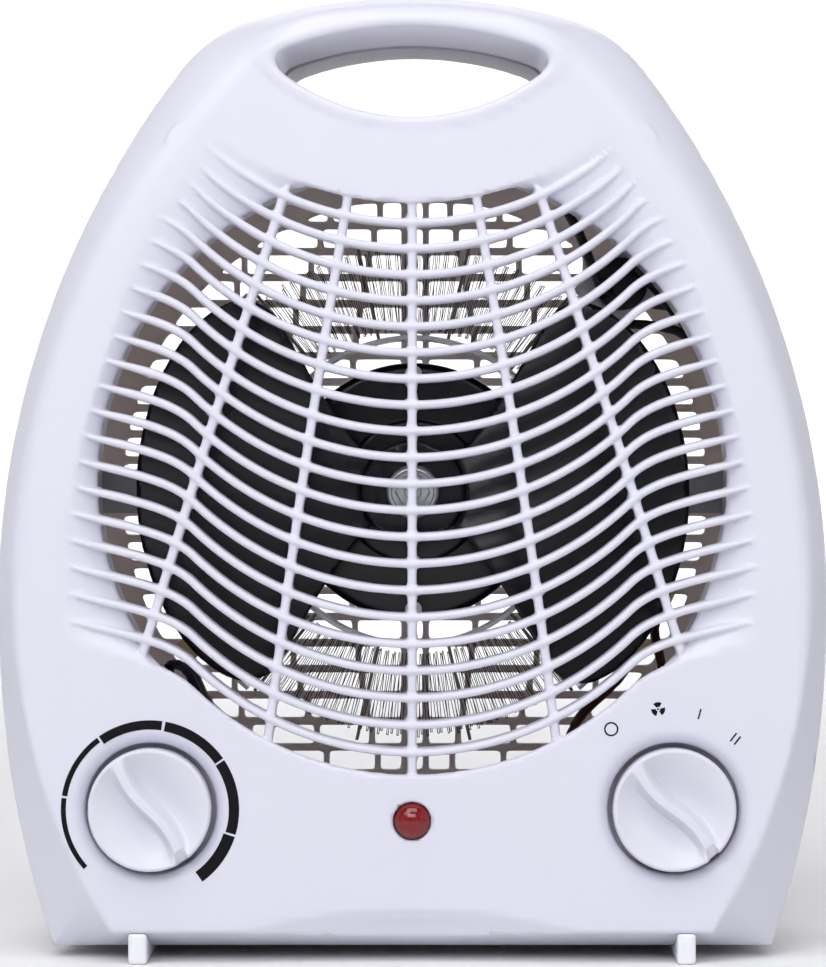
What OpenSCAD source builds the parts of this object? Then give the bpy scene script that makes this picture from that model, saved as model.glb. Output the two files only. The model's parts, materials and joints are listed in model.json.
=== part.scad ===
// Upright fan convector heater, assembled from its separate pieces.
// +Z is up, +X is to the right, and the front faces -Y. Millimetres and degrees.
// The origin is at the bottom centre of the whole heater.

/* [Body] */
// Overall depth, from the knob tops to the back
body_depth = 115; // [105:1:125]
// Width at the widest place
body_width = 210.8; // [208:0.2:214]
// Height with the feet
body_height = 243.7; // [243:0.1:246]
// Height of the widest place above the table
waist_z = 88; // [84:1:92]
// Wall of both shells
wall = 2.2; // [1.8:0.1:2.6]
// How far the knobs stand out from the face
knob_stand = 4; // [2:0.5:6]
// Depth of the front shell behind the face
seam_depth = 42; // [38:1:46]
// Depth of the body at the carrying handle
neck_depth = 69; // [66:1:72]

/* [Grille] */
// Number of curved bars
bar_count = 21; // [15:1:21]
// Thickness of a bar
bar_thick = 2.1; // [1.6:0.1:2.6]
// Radius of the air opening
opening_r = 79; // [76:1:80]
// Depth of the dish around the opening
dish_depth = 4; // [3:0.5:5]
// Depth of the collar behind the opening
collar_depth = 20; // [12:1:20]
// Radius of the rear grille
intake_r = 82; // [76:1:84]
// Pitch of the slats in the rear grille
slat_pitch = 7.32; // [7:0.02:7.6]
// Height of a rear slat
slat_thick = 2.3; // [2:0.1:3]

/* [Controls] */
// Distance of each knob from the centre line
knob_x = 65.5; // [64:0.5:67]
// Height of the knobs and of the lamp
knob_z = 38.9; // [37:0.1:41]
// Radius of a knob
knob_r = 15.2; // [14:0.1:15.6]
// Radius of the wells that the knobs turn in
well_r = 16.5; // [16.2:0.1:17]
// Radius of both spindles
spindle_r = 3; // [2.5:0.1:3.5]
// Running gap between a turning spindle or shaft and its bearing
running_gap = 0.05; // [0.02:0.01:0.09]

/* [Fan and motor] */
// Height of the fan's axis
fan_z = 118.3; // [117:0.1:120]
// Radius of the fan
fan_r = 71.5; // [68:0.5:73]
// Depth of the blades' front edges behind the face
fan_depth = 22; // [20:1:26]
// Length of the blades along the axis
fan_pitch = 15; // [12:1:16]
// Radius of the motor's case
motor_r = 34; // [32:0.5:35]
// Radius of the motor's shaft
shaft_r = 2; // [1.5:0.1:2.5]

/* [Heating element] */
// Inner radius of the wire zigzag
wire_in_r = 43; // [42:0.5:44]
// Outer radius of the wire zigzag
wire_out_r = 65; // [63:0.5:66]
// Folds in each layer of wire
wire_folds = 60; // [40:1:72]
// Thickness of the wire
wire_thick = 0.7; // [0.6:0.1:1]

/* [Hidden] */
$fn = 72;
eps = 0.01;

// Depths along Y
face_y = -body_depth / 2 + knob_stand;
back_y = body_depth / 2;
waist_y = face_y + 15;
seam_y = face_y + seam_depth;
neck_y = face_y + neck_depth;
fan_y = face_y + fan_depth;
heater_y = face_y + 43;
motor_y = face_y + 47;
mount_y = 34;
mount_thick = 1.5;

// Radii of the body's outline, which is a chain of arcs seen from the front
waist_half = body_width / 2;
side_r = 226;
skirt_r = 264;
crown_r = 150;
shoulder_r = 37;
belly_z = 3;
side_points = 9;

// The flat face: half width, its height, side, skirt, top and shoulder radii, underside
face_shape = [waist_half - 6, waist_z + 3, 190, 155, body_height - 4, 146, 33, 8];
body_shape = [waist_half, waist_z, side_r, skirt_r, body_height, crown_r, shoulder_r, belly_z];

// The carrying handle's opening, a lens between two arcs
grip_top_z = 234.4;
grip_low_z = 212.7;
grip_top_r = 94;
grip_low_r = 53.5;
grip_end_r = 4;

// The curve that every grille bar follows
bend_r = 79;
bend_x = 54.5;
tail_slope = 0.225;
tail_length = 5.5;
band_top = 190.5;
band_low = 47.6;
dish_margin = 12;
opening_z = 121;

// A shallow scallop under the middle of the face: its top, radius and run per unit of depth
scallop_z = 14;
scallop_r = 160;
scallop_lean = 2.5;

// Self-tapping screws that close the case, as [x, z]
screw_places = [[-84, 54], [84, 54], [-57, 206], [57, 206]];
post_r = 4.5;
boss_x = 89;

// ---------- Helpers ----------

// Extrudes a front view, drawn as x and z, from depth y0 to depth y1
module slab(y0, y1) {
  translate([0, y1, 0]) rotate([90, 0, 0]) linear_extrude(y1 - y0) children();
}

// A cylinder along Y at a place [x, z]
module rod(place, y0, y1, r) {
  translate([place[0], y1, place[1]]) rotate([90, 0, 0]) cylinder(r = r, h = y1 - y0);
}

// A cylinder with a bore along Y
module pipe(place, y0, y1, r, bore) {
  difference() {
    rod(place, y0, y1, r);
    rod(place, y0 - 1, y1 + 1, bore);
  }
}

// Turns a profile of [radius, depth] points about the Y axis at a place
module turned(place, points) {
  translate([place[0], 0, place[1]]) rotate([-90, 0, 0]) rotate_extrude() polygon(points);
}

// A block between two opposite corners
module block(low, high) {
  translate(low) cube(high - low);
}

function arc(centre, r, a0, a1, n) =
  [for (i = [0 : n]) centre + r * [cos(a0 + (a1 - a0) * i / n), sin(a0 + (a1 - a0) * i / n)]];
function angle_to(v) = atan2(v[1], v[0]);

// The crossing of circle a and circle b that lies to the left of the way from b to a
function crossing(a, ra, b, rb) =
  let (d = norm(b - a), u = (b - a) / d, h = (ra * ra - rb * rb + d * d) / (2 * d))
  a + u * h + [u[1], -u[0]] * sqrt(ra * ra - h * h);

// Right half of an outline, from the top centre to the bottom corner, drawn e inside its
// shape, with its underside raised by lift
function half_outline(s, e, lift) =
  let (top = [0, s[4] - s[5]], side = [s[0] - s[2], s[1]], skirt = [s[0] - s[3], s[1]],
    blend = crossing(top, s[5] - s[6], side, s[2] - s[6]),
    a1 = angle_to(blend - top), a2 = angle_to(blend - side),
    a3 = asin((s[7] + lift - s[1]) / (s[3] - e)), n = side_points)
  concat(arc(top, s[5] - e, 90, a1, 4), arc(blend, s[6] - e, a1, a2, n),
    arc(side, s[2] - e, a2, 0, n), arc(skirt, s[3] - e, 0, a3, n));
function flip(points) = [for (i = [len(points) - 1 : -1 : 1]) [-points[i][0], points[i][1]]];
function outline(s, e = 0, lift = undef) =
  let (h = half_outline(s, e, lift == undef ? e : lift)) concat(h, flip(h));

// Eases from the face's outline to the body's: round at the top, a flat facet at the skirt
function bevel_ease(t, i, n) =
  let (k = min(1, max(0, abs(i - n / 2) < n / 2 ? 1 - abs(2 * i / n - 1) : 0)), flat = max(0, 2 * k - 0.5))
  (1 - min(1, flat)) * sin(90 * t) + min(1, flat) * t;

function raise(points, y) = [for (p = points) [p[0], y, p[1]]];
function bevel_ring(t, e) =
  let (a = outline(face_shape, e), b = outline(body_shape, e), n = len(a))
  [for (i = [0 : n - 1]) let (k = bevel_ease(t, i, n))
    [a[i][0] + (b[i][0] - a[i][0]) * k, face_y + 15 * t, a[i][1] + (b[i][1] - a[i][1]) * k]];

// Skins a stack of rings that have the same number of points
module loft(rings) {
  n = len(rings[0]);
  m = len(rings);
  polyhedron(points = [for (r = rings) each r], faces = concat(
    [[for (i = [0 : n - 1]) i]],
    [for (j = [0 : m - 2], i = [0 : n - 1]) let (k = (i + 1) % n)
      each [[j * n + i, (j + 1) * n + i, (j + 1) * n + k], [j * n + i, (j + 1) * n + k, j * n + k]]],
    [[for (i = [n - 1 : -1 : 0]) (m - 1) * n + i]]));
}

// The back of the body seen from the side: upright, then drawn forward to the neck
slope_low = 198;
slope_high = 236;
function back_at(z) =
  let (u = min(1, max(0, (z - slope_low) / (slope_high - slope_low))))
  back_y - (back_y - neck_y) * (1 - cos(180 * u)) / 2;
function back_tilt(z) = (back_at(z - 1) - back_at(z + 1)) / 2;
module side_cut(e) {
  heights = [for (i = [0 : 12]) slope_low + (slope_high - slope_low) * i / 12];
  points = concat([[face_y - 5, -5], [back_y - e, -5], [back_y - e, slope_low - 10]],
    [for (z = heights) [back_at(z) - e * sqrt(1 + pow(back_tilt(z), 2)), z]],
    [[neck_y - e, body_height + 5], [face_y - 5, body_height + 5]]);
  translate([-waist_half - 5, 0, 0]) rotate([90, 0, 90]) linear_extrude(body_width + 10)
    polygon(points);
}

// The body's solid shape, drawn e inside its skin
module body_solid(e) {
  intersection() {
    loft(concat(
      e == 0 ? [for (t = [0, 0.12, 0.3, 0.6]) bevel_ring(t, 0)]
        : [raise(outline(face_shape, e), face_y + e), bevel_ring(0.45, e)],
      [for (p = [[waist_y, 0], [seam_y, 0.5], [back_y - 14, 2.2], [back_y - 7, 3.4],
        [back_y - 2.5, 6.5], [back_y, 11]])
        if (p[0] <= back_y - e) raise(outline(body_shape, p[1] + e, max(0, p[1] - 3) + e), p[0])],
      e == 0 ? [] : [raise(outline(body_shape, 8 + e, 5 + e), back_y - e)]));
    side_cut(e);
  }
}

// The lens of the handle's opening, drawn e outside it
module grip_view(e) {
  top = [0, grip_top_z - grip_top_r];
  low = [0, grip_low_z + grip_low_r];
  mid = crossing(low, grip_low_r - grip_end_r, top, grip_top_r - grip_end_r);
  end = [abs(mid[0]), mid[1]];
  a1 = angle_to(end - top);
  a2 = angle_to(end - low);
  right = concat(arc(top, grip_top_r + e, 90, a1, 8), arc(end, grip_end_r + e, a1, a2, 6),
    arc(low, grip_low_r + e, a2, -90, 8));
  polygon(concat(right, flip(right)));
}

// Height of a bar above its middle, at x
function bar_rise(x) = abs(x) <= bend_x ? bend_r - sqrt(bend_r * bend_r - x * x) :
  let (d = abs(x) - bend_x) bend_r - sqrt(bend_r * bend_r - bend_x * bend_x) + tail_slope * d
    + 0.75 * tail_length * (1 - exp(-d / tail_length));
function bar_slope(x) = (bar_rise(x + 0.1) - bar_rise(x - 0.1)) / 0.2;
function bar_height(i) = 53 + 6.82 * i - 0.009 * i * i;

// Half width of the flat face at a height, without its shoulders
function face_half(z) = let (r = z > face_shape[1] ? face_shape[2] : face_shape[3])
  face_shape[0] - r + sqrt(r * r - pow(z - face_shape[1], 2));
// Where a bar runs out into the face, found by halving
function reach(z0, low = 0, high = 90, n = 10) = n == 0 ? low :
  let (mid = (low + high) / 2)
  mid < face_half(z0 + bar_rise(mid)) - dish_margin ? reach(z0, mid, high, n - 1)
    : reach(z0, low, mid, n - 1);

module bar_view(z0) {
  far = reach(z0);
  steps = [for (i = [-11 : 11]) far * i / 11];
  function side(k) = [for (x = steps) let (m = bar_slope(x))
    [x, z0 + bar_rise(x)] + k * bar_thick / 2 * [-m, 1] / norm([m, 1])];
  low = side(-1);
  polygon(concat(side(1), [for (i = [len(low) - 1 : -1 : 0]) low[i]]));
}

// The curved band between the panels above and below the grille
module band_view() {
  steps = [for (i = [-14 : 14]) 95 * i / 14];
  polygon(concat([for (x = steps) [x, band_top + bar_rise(x)]],
    [for (x = steps) [-x, band_low + bar_rise(x)]]));
}

// An upright that leans outward from x_top to x_low
module upright_view(x_top, x_low) {
  w = 1.2;
  polygon([[x_top - w, band_top + 5], [x_top + w, band_top + 5],
    [x_low + w, band_low + 2], [x_low - w, band_low + 2]]);
}

// ---------- Shells ----------

module dish_cut() {
  intersection() {
    hull() {
      slab(face_y - 1, face_y + eps) polygon(outline(face_shape, dish_margin));
      slab(face_y + dish_depth - eps, face_y + dish_depth) translate([0, opening_z]) circle(opening_r);
    }
    slab(face_y - 2, face_y + dish_depth + 1) band_view();
  }
}

module opening_cut() {
  intersection() {
    slab(face_y - 2, face_y + 12) translate([0, opening_z]) circle(opening_r);
    slab(face_y - 2, face_y + 12) band_view();
  }
}

module front_shell() {
  bar_front = face_y + 0.3;
  bar_back = face_y + dish_depth + 2.4;
  color("#e8e8f2") difference() {
    union() {
      difference() {
        union() {
          difference() {
            intersection() {
              body_solid(0);
              block([-150, face_y - 1, -1], [150, seam_y, 260]);
            }
            body_solid(wall);
          }
          intersection() {
            body_solid(0.5);
            slab(face_y + 0.5, face_y + dish_depth + wall) difference() {
              polygon(outline(face_shape, 5));
              translate([0, -15]) square([400, 80], center = true);
            }
          }
        }
        dish_cut();
        opening_cut();
      }
      for (i = [0 : bar_count - 1]) slab(bar_front, bar_back) bar_view(bar_height(i));
      slab(bar_front + 0.4, bar_back) intersection() {
        union() {
          for (s = [-1, 1]) {
            upright_view(s * 16.5, s * 37);
            upright_view(s * 33, s * 76);
          }
          upright_view(0, 0);
        }
        translate([0, opening_z]) circle(opening_r + 2);
        band_view();
      }
      intersection() {
        body_solid(1);
        slab(face_y + 1, seam_y) grip_view(wall);
      }
      intersection() {
        pipe([0, opening_z], face_y + dish_depth + 1, face_y + collar_depth, opening_r + 1.9, opening_r + 0.3);
        block([-100, face_y, 80], [100, seam_y, 205]);
      }
      for (s = [-1, 1]) rod([s * knob_x, knob_z], face_y + 0.5, face_y + 11, well_r + 2);
      rod([0, knob_z - 3], face_y + 0.5, face_y + 9, 7.5);
      for (p = screw_places) rod(p, face_y + 1, seam_y, post_r);
    }
    slab(face_y - 1, seam_y + 1) grip_view(0);
    for (s = [-1, 1]) {
      rod([s * knob_x, knob_z], face_y - 1, face_y + 9, well_r);
      turned([s * knob_x, knob_z], [[0, face_y - 1], [well_r + 2.2, face_y - 1],
        [well_r + 1.9, face_y], [well_r - 0.1, face_y + 1.2], [0, face_y + 1.2]]);
      rod([s * knob_x, knob_z], face_y, face_y + 12, 4.6);
    }
    rod([0, knob_z - 3], face_y - 1, face_y + 7, 5.4);
    rod([0, knob_z - 3], face_y, face_y + 10, 3.2);
    for (p = screw_places) rod(p, seam_y - 14, seam_y + 1, 1.5);
    translate([0, face_y, scallop_z - scallop_r]) rotate([90, 0, 0])
      cylinder(r1 = scallop_r - scallop_lean * 2.4, r2 = scallop_r + scallop_lean * 2.4, h = 4.8, center = true);
  }
}

function slat_z(k) = fan_z + 8.66 + slat_pitch * (k - 7);
// Upright ribs, bowed like the meridians of a globe: middle offset and curve of each
ribs = [[19.2, 652], [39.7, 383], [57.5, 420]];
function rib_x(rib, z) = rib[0] - pow(z - fan_z, 2) / rib[1];

module rear_slots() {
  slot_high = slat_pitch - slat_thick;
  intersection() {
    rod(axis, 0, back_y + 1, intake_r);
    for (k = [-5 : 16]) {
      z = slat_z(k) + slat_thick / 2;
      difference() {
        block([-intake_r, 0, z], [intake_r, back_y + 1, z + slot_high]);
        for (s = [-1, 1], rib = ribs) {
          x = s * rib_x(rib, z + slot_high / 2);
          block([x - 0.9, -1, z - 1], [x + 0.9, back_y + 2, z + slot_high + 1]);
        }
        for (s = [-1, 1]) block([s * 3 - 0.9, -1, z - 1], [s * 3 + 0.9, back_y + 2, z + slot_high + 1]);
      }
    }
  }
}

module rear_shell() {
  inset = 0.4;
  color("#e6e6f0") difference() {
    union() {
      difference() {
        intersection() {
          body_solid(inset);
          block([-150, seam_y, -1], [150, back_y + 1, 260]);
        }
        body_solid(wall + inset);
        rear_slots();
      }
      intersection() {
        body_solid(1);
        union() {
          slab(seam_y, back_y) grip_view(wall);
          for (p = screw_places) rod(p, seam_y, back_y, post_r);
          for (s = [-1, 1]) rod([s * boss_x, fan_z], mount_y + mount_thick, back_y, 5);
          block([-20, 30, 4], [20, 49, 12]);
        }
      }
    }
    slab(seam_y - 1, back_y + 1) grip_view(-inset);
    for (p = screw_places) {
      rod(p, seam_y - 1, back_y + 1, 1.8);
      rod(p, seam_y + 10, back_y + 1, 3.4);
    }
    for (s = [-1, 1]) rod([s * boss_x, fan_z], mount_y, mount_y + 10, 1.4);
    rod(gland_place, 30, back_y + 1, gland_r);
  }
}

module foot(side) {
  half = 2.35;
  color("#f0f0f4") translate([side * 68.7 - half, 0, 0]) rotate([90, 0, 90]) linear_extrude(2 * half)
    polygon([[face_y, 0.8], [face_y + 0.8, 0], [back_y - 10, 0], [back_y - 8, 1], [back_y - 8, belly_z],
      [waist_y, belly_z], [face_y, 7.9]]);
}
module foot_left() { foot(-1); }
module foot_right() { foot(1); }

module case_screws() {
  color("silver") for (p = screw_places) {
    pipe(p, seam_y + 10, seam_y + 12.4, 3, 0.9);
    rod(p, seam_y - 12, seam_y + 11, 1.5);
  }
}

module indicator_lens() {
  place = [0, knob_z - 3];
  color("#c01818") turned(place, [[0, face_y - 2], [2.4, face_y - 1.5], [4, face_y - 0.3],
    [4.8, face_y + 1.6], [5.3, face_y + 2.2], [5.3, face_y + 7], [4.3, face_y + 7], [4.3, face_y + 1.8],
    [0, face_y - 0.6]]);
}

module indicator_lamp() {
  place = [0, knob_z - 3];
  color("#ffb080") {
    turned(place, [[0, face_y + 2], [1.6, face_y + 2.6], [2, face_y + 4], [2, face_y + 16], [0, face_y + 16]]);
    pipe(place, face_y + 9, face_y + 12, 5, 1.9);
  }
}

// ---------- Controls ----------

// A round knob with a scooped top that leaves a curved grip ridge across it
module knob(place, rest) {
  ridge_half = 1.5;
  top = face_y - knob_stand;
  difference() {
    turned(place, [[0, top], [knob_r - 2.2, top], [knob_r - 0.8, top + 0.6], [knob_r, top + 2.2],
      [knob_r, face_y + 7.5], [knob_r - 1.6, face_y + 7.5], [knob_r - 1.6, face_y + 4],
      [5.5, face_y + 4], [5.5, face_y + 8.4], [0, face_y + 8.4]]);
    translate([place[0], 0, place[1]]) rotate([0, -rest, 0]) for (s = [-1, 1])
      translate([0, face_y - 13.1, s * (ridge_half + 9.4)]) rotate([0, 90, 0])
        cylinder(r = 11.5, h = 60, center = true);
    rod(place, face_y + 1.5, face_y + 9, spindle_r);
  }
}
thermostat_place = [-knob_x, knob_z];
selector_place = [knob_x, knob_z];

module thermostat_knob() { color("#e9e9f3") knob(thermostat_place, 124); }
module selector_knob() { color("#e9e9f3") knob(selector_place, 131); }

// Depths of the parts on each spindle behind the face
collar_y = face_y + 13;
frame_y = face_y + 15;

module thermostat_spindle() {
  color("silver") {
    rod(thermostat_place, face_y + 1.5, frame_y + 18.2, spindle_r);
    rod(thermostat_place, collar_y - 0.6, frame_y - 0.4, 4.4);
  }
}

module thermostat_frame() {
  p = thermostat_place;
  color("#b8b8b0") difference() {
    union() {
      rod(p, frame_y, frame_y + 12, 6);
      block([p[0] - 11, frame_y + 5, p[1] - 14], [p[0] + 11, frame_y + 6.5, p[1] + 24]);
      for (s = [-1, 1])
        block([p[0] + s * 9.5 - 1.5, face_y + 11, p[1] - 14], [p[0] + s * 9.5 + 1.5, frame_y + 5.2, p[1] - 9]);
      block([p[0] - 5, frame_y + 6, p[1] + 14], [p[0] + 5, frame_y + 30, p[1] + 24]);
    }
    rod(p, frame_y - 1, frame_y + 13, spindle_r + running_gap);
  }
}

module thermostat_bimetal() {
  p = thermostat_place;
  color("#c8b070") {
    block([p[0] - 3.5, frame_y + 18.6, p[1] - 16], [p[0] + 3.5, frame_y + 19.6, p[1] + 14]);
    block([p[0] - 2.5, frame_y + 22.5, p[1] - 12], [p[0] + 2.5, frame_y + 23.2, p[1] + 14]);
  }
}

module thermostat_contacts() {
  p = thermostat_place;
  color("#c98a4a") {
    rod([p[0], p[1] - 10], frame_y + 19.6, frame_y + 22.5, 2);
    for (k = [20, 24]) block([p[0] - 3, frame_y + k, p[1] + 24], [p[0] + 3, frame_y + k + 0.8, p[1] + 31]);
  }
}

module selector_spindle() {
  p = selector_place;
  color("#d8d8d0") {
    rod(p, face_y + 1.5, face_y + 26, spindle_r);
    rod(p, collar_y - 0.6, frame_y - 0.4, 4.4);
    rod(p, face_y + 22, face_y + 26, 8);
  }
}

module selector_switch_body() {
  p = selector_place;
  color("#303034") difference() {
    union() {
      block([p[0] - 14.2, frame_y, p[1] - 13], [p[0] + 14.2, frame_y + 22, p[1] + 13]);
      for (s = [-1, 1])
        block([p[0] + s * 12 - 2, face_y + 11, p[1] - 4], [p[0] + s * 12 + 2, frame_y + 1, p[1] + 4]);
    }
    rod(p, frame_y - 1, frame_y + 20, spindle_r + running_gap);
    rod(p, frame_y + 6.5, frame_y + 11.5, 8.4);
  }
}

// Where the switch's tabs are, and the end of each
tab_places = [for (at = [[-9, 7], [9, 7], [0, 0], [-9, -7], [9, -7]]) selector_place + at];
tab_y = frame_y + 31;
module selector_terminals() {
  color("#c8a850") for (p = tab_places)
    block([p[0] - 3.1, frame_y + 22, p[1] - 0.4], [p[0] + 3.1, tab_y, p[1] + 0.4]);
}

// ---------- Fan and motor ----------

axis = [0, fan_z];
blade_span = 106;
blade_thick = 1.6;
hub_r = 13.3;

// A point of one blade: u runs round the fan and v outward from the hub
function blade_point(turn, u, v, back) =
  let (tip = fan_r - 9 * pow(abs(2 * u - 1), 6),
    r = hub_r - 0.9 + (tip - hub_r + 0.9) * v,
    waist = 1 - 0.28 * pow(1 - v, 2),
    a = turn + blade_span * (0.5 + (u - 0.5) * waist),
    y = fan_y + (fan_pitch - blade_thick) * (0.5 + (u - 0.5) * (0.45 + 0.55 * v)) + back)
  [r * cos(a), y, fan_z + r * sin(a)];

module blade(turn) {
  nu = 20;
  nv = 8;
  w = nv + 1;
  count = (nu + 1) * w;
  points = [for (b = [0, blade_thick], i = [0 : nu], j = [0 : nv]) blade_point(turn, i / nu, j / nv, b)];
  sheet = [for (i = [0 : nu - 1], j = [0 : nv - 1]) let (p = i * w + j)
    each [[p, p + 1, p + w + 1], [p, p + w + 1, p + w]]];
  rim = concat([for (j = [0 : nv - 1]) [j, j + 1]], [for (i = [0 : nu - 1]) [i * w + nv, (i + 1) * w + nv]],
    [for (j = [nv : -1 : 1]) [nu * w + j, nu * w + j - 1]], [for (i = [nu : -1 : 1]) [i * w, (i - 1) * w]]);
  polyhedron(points = points, faces = concat(
    [for (f = sheet) [f[0], f[2], f[1]]],
    [for (f = sheet) [f[0] + count, f[1] + count, f[2] + count]],
    [for (e = rim) each [[e[0], e[1], e[1] + count], [e[0], e[1] + count, e[0] + count]]]));
}

module fan_impeller() {
  color("#202024") difference() {
    union() {
      turned(axis, [[0, fan_y + 1], [8.8, fan_y + 1], [8.8, fan_y + 2], [hub_r - 0.6, fan_y + 2.3],
        [hub_r, fan_y + 3], [hub_r, fan_y + fan_pitch], [hub_r - 2, fan_y + fan_pitch],
        [hub_r - 2, fan_y + 8], [5, fan_y + 8], [5, fan_y + fan_pitch + 2], [0, fan_y + fan_pitch + 2]]);
      for (turn = [127, 307]) blade(turn);
    }
    rod(axis, fan_y, fan_y + fan_pitch + 3, shaft_r);
  }
}

module spinner_nut() {
  color("silver") difference() {
    turned(axis, [[0, fan_y - 2.5], [5.6, fan_y - 2.5], [7.2, fan_y - 1], [7.2, fan_y + 1], [0, fan_y + 1]]);
    translate([0, fan_y - 0.5, fan_z]) rotate([90, 0, 0]) cylinder(r = 4.4, h = 3, $fn = 6);
    rod(axis, fan_y - 3, fan_y + 2, shaft_r);
  }
}

motor_back_y = mount_y;
module motor_shaft() {
  color("silver") rod(axis, fan_y - 0.8, motor_back_y + 4, shaft_r);
}

stator_y = motor_y + 11;
stator_long = 14;
module rotor_core() {
  color("#909098") difference() {
    rod(axis, stator_y - 1, stator_y + stator_long + 1, 12);
    rod(axis, stator_y - 2, stator_y + stator_long + 2, shaft_r);
  }
}

module stator_core() {
  color("#70757c") slab(stator_y, stator_y + stator_long) translate(axis) difference() {
    circle(28.9);
    circle(12.5);
    for (a = [45 : 90 : 360]) rotate(a) translate([18.5, 0]) square([9, 14], center = true);
  }
}

module stator_coils() {
  color("#b86a30") for (a = [45 : 90 : 360]) translate([0, 0, fan_z]) rotate([0, -a, 0]) {
    block([14, stator_y - 5, -7], [23, stator_y + stator_long + 5, 7]);
  }
}

module cover(y0, y1, inner0, inner1) {
  difference() {
    rod(axis, y0, y1, motor_r);
    rod(axis, inner0, inner1, motor_r - 1.5);
  }
}

bearing_r = 6;
module motor_front_cover() {
  color("#1c1c20") difference() {
    union() {
      cover(motor_y, stator_y + 7, motor_y + 1.8, stator_y + 8);
      rod(axis, motor_y, motor_y + 6, 10);
      pipe(axis, stator_y, stator_y + 7, motor_r - 1, 29);
    }
    rod(axis, motor_y + 1, motor_y + 7, bearing_r);
    rod(axis, motor_y - 1, motor_y + 7, shaft_r + 1);
    for (a = [0 : 90 : 270]) rod(axis + 31 * [cos(a), sin(a)], motor_y - 1, stator_y + 8, 1.2);
  }
}

module motor_rear_cover() {
  color("#26262a") difference() {
    union() {
      cover(stator_y + 7, motor_back_y, stator_y + 6, motor_back_y - 1.8);
      rod(axis, motor_back_y - 7, motor_back_y, 10);
      pipe(axis, stator_y + 7, stator_y + stator_long, motor_r - 1, 29);
    }
    rod(axis, motor_back_y - 8, motor_back_y - 1, bearing_r);
    rod(axis, motor_back_y - 8, motor_back_y + 1, shaft_r + 1);
    for (a = [0 : 90 : 270]) rod(axis + 31 * [cos(a), sin(a)], stator_y + 6, motor_back_y + 1, 1.2);
  }
}

module front_bearing() {
  color("#b89060") pipe(axis, motor_y + 1, motor_y + 6, bearing_r, shaft_r + running_gap);
}
module rear_bearing() {
  color("#b89060") pipe(axis, motor_back_y - 7, motor_back_y - 1, bearing_r, shaft_r + running_gap);
}

module motor_screws() {
  color("silver") for (a = [0 : 90 : 270]) {
    p = axis + 31 * [cos(a), sin(a)];
    rod(p, motor_y - 2, motor_back_y + 1.5, 1.2);
    rod(p, motor_y - 1.6, motor_y, 2.2);
  }
}

module motor_mount() {
  color("#a8acb0") difference() {
    union() {
      slab(mount_y, mount_y + mount_thick) translate([0, fan_z]) square([2 * boss_x + 10, 12], center = true);
      rod(axis, mount_y, mount_y + mount_thick, motor_r);
    }
    rod(axis, mount_y - 1, mount_y + 3, 8);
    for (a = [0 : 90 : 270]) rod(axis + 31 * [cos(a), sin(a)], mount_y - 1, mount_y + 3, 1.2);
    for (s = [-1, 1]) rod([s * boss_x, fan_z], mount_y - 1, mount_y + 3, 1.8);
  }
}

module mount_screws() {
  color("silver") for (s = [-1, 1]) {
    rod([s * boss_x, fan_z], mount_y - 1.8, mount_y, 3);
    rod([s * boss_x, fan_z], mount_y - 1, mount_y + 9, 1.4);
  }
}

// ---------- Heating element ----------

layer_gap = 8;
ring_long = 15;
// Where the flat pieces on the outer ring begin
tag_x = wire_out_r + 3.03;
// The outer ring is two arcs, one on each side
ring_arc = 50;
module heater_outer_ring() {
  far = 200 * [cos(ring_arc), sin(ring_arc)];
  color("#9a9aa0") difference() {
    pipe(axis, heater_y, heater_y + ring_long, wire_out_r + 3, wire_out_r + 2);
    for (s = [-1, 1]) slab(heater_y - 1, heater_y + ring_long + 1) translate(axis)
      polygon([[0, 0], [far[0], s * far[1]], [-far[0], s * far[1]]]);
  }
}
module heater_inner_ring() {
  color("#9a9aa0") pipe(axis, heater_y, heater_y + ring_long, wire_in_r - 2, wire_in_r - 3);
}

arm_count = 14;
module mica_arms() {
  color("#8a7a62") for (i = [0 : arm_count - 1]) translate([0, 0, fan_z])
    rotate([0, -360 * i / arm_count, 0]) difference() {
      block([wire_in_r - 2, heater_y + 1, -0.4], [wire_out_r + 1.9, heater_y + ring_long - 1, 0.4]);
      for (k = [0, 1]) block([wire_in_r - 0.6, wire_y(k) - 0.2, -1], [wire_out_r + 0.6, wire_y(k) + wire_thick + 0.2, 1]);
    }
}
function wire_y(k) = heater_y + 3.2 + layer_gap * k;

// A strip of wire folded in and out round a ring, flat across the airflow
module zigzag(y, phase) {
  tip = wire_thick * 6;
  step = 180 / wire_folds;
  function loop(out, in) = [for (i = [0 : 2 * wire_folds - 1])
    (i % 2 == 0 ? out : in) * [cos(step * (i + phase)), sin(step * (i + phase))]];
  slab(y, y + wire_thick) translate(axis) difference() {
    polygon(loop(wire_out_r, wire_in_r + tip));
    polygon(loop(wire_out_r - tip, wire_in_r));
  }
}
module heating_wire_front() { color("#4a4440") zigzag(wire_y(0), 0); }
module heating_wire_rear() { color("#4a4440") zigzag(wire_y(1), 1); }

module heater_brackets() {
  color("#b0b0b4") for (s = [0, 1]) mirror([s, 0, 0]) {
    block([tag_x, heater_y, fan_z - 4.5], [tag_x + 1.2, mount_y, fan_z + 4.5]);
    block([tag_x, mount_y - 1.2, fan_z - 4.5], [tag_x + 9, mount_y, fan_z + 4.5]);
  }
}

tag_angles = [215, 325, 337];
module element_terminals() {
  color("#c8b078") for (a = tag_angles) translate([0, 0, fan_z]) rotate([0, -a, 0])
    block([tag_x, heater_y + 5, -3], [wire_out_r + 9, heater_y + 5.8, 3]);
}

cutout_angle = 45;
module cutout_bracket() {
  color("#c0c0c4") translate([0, 0, fan_z]) rotate([0, -cutout_angle, 0]) {
    block([tag_x, heater_y + 2, -6], [tag_x + 1.2, heater_y + 18, 6]);
    block([tag_x, heater_y + 17, -8], [wire_out_r + 22, heater_y + 18, 8]);
  }
}

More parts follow.
